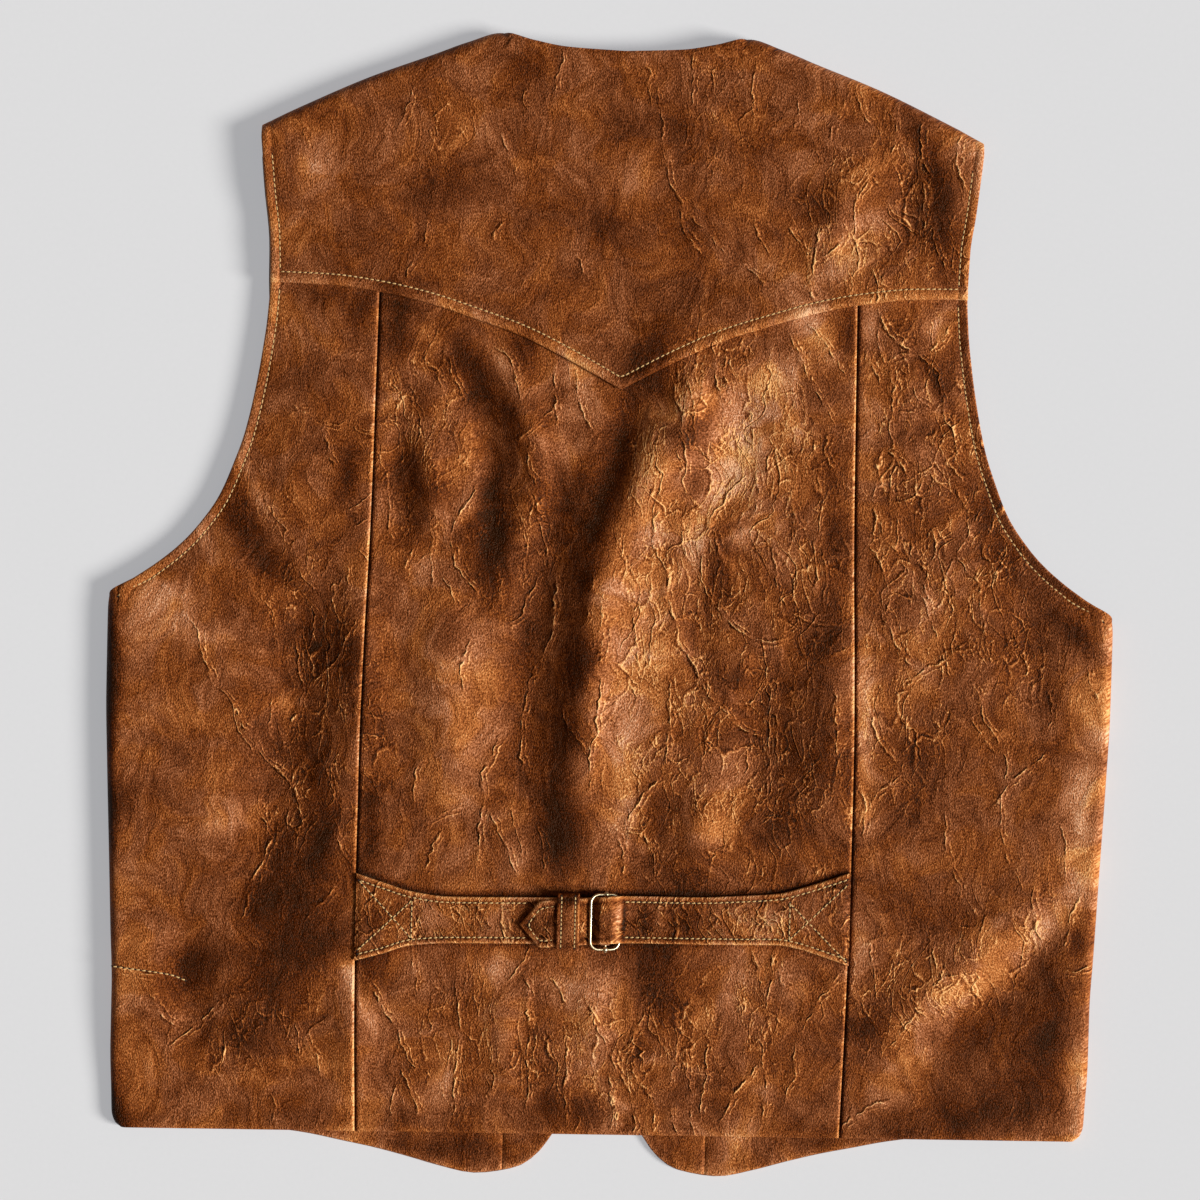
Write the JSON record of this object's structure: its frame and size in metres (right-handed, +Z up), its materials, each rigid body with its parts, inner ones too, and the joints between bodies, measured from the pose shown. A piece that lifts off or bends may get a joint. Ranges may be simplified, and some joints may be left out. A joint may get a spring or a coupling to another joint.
{
  "type": "leather vest laid flat, face down",
  "caption": "Leather vest lying face down and flat, with a pointed back yoke, princess seams, overlapping fronts with pointed hems, and a buckled back belt.",
  "frame": {"origin": "on the ground, under the middle of the garment's outline", "axes": "+Z up through the lying vest, towards its back; +Y towards the neck; -X is the wearer's left"},
  "size_m": [0.6094, 0.6913, 0.0221],
  "materials": {
    "leather_back": "oiled, pulled-up tan leather with light creases and worn edges",
    "leather_front": "the same leather, less handled",
    "leather_belt": "the same leather, stitched along both edges",
    "thread": "waxed cream thread",
    "lining": "plain pale cloth",
    "buckle_metal": "polished pale brass wire",
    "snap_metal": "dull antique brass"
  },
  "bodies": {
    "root": {"back_yoke": "leather_back", "back_centre": "leather_back", "back_side_left": "leather_back", "back_side_right": "leather_back", "front_left": "leather_front", "front_right": "leather_front", "front_facing_left": "leather_front", "front_facing_right": "leather_front", "hem_facing_left": "leather_front", "hem_facing_right": "leather_front", "armhole_lining_left": "lining", "belt_left": "leather_belt", "belt_right": "leather_belt", "belt_keeper": "leather_belt", "buckle_frame": "buckle_metal", "buckle_bar": "buckle_metal", "snap_1": "snap_metal", "snap_2": "snap_metal", "snap_3": "snap_metal", "snap_4": "snap_metal"}
  },
  "joints": []
}
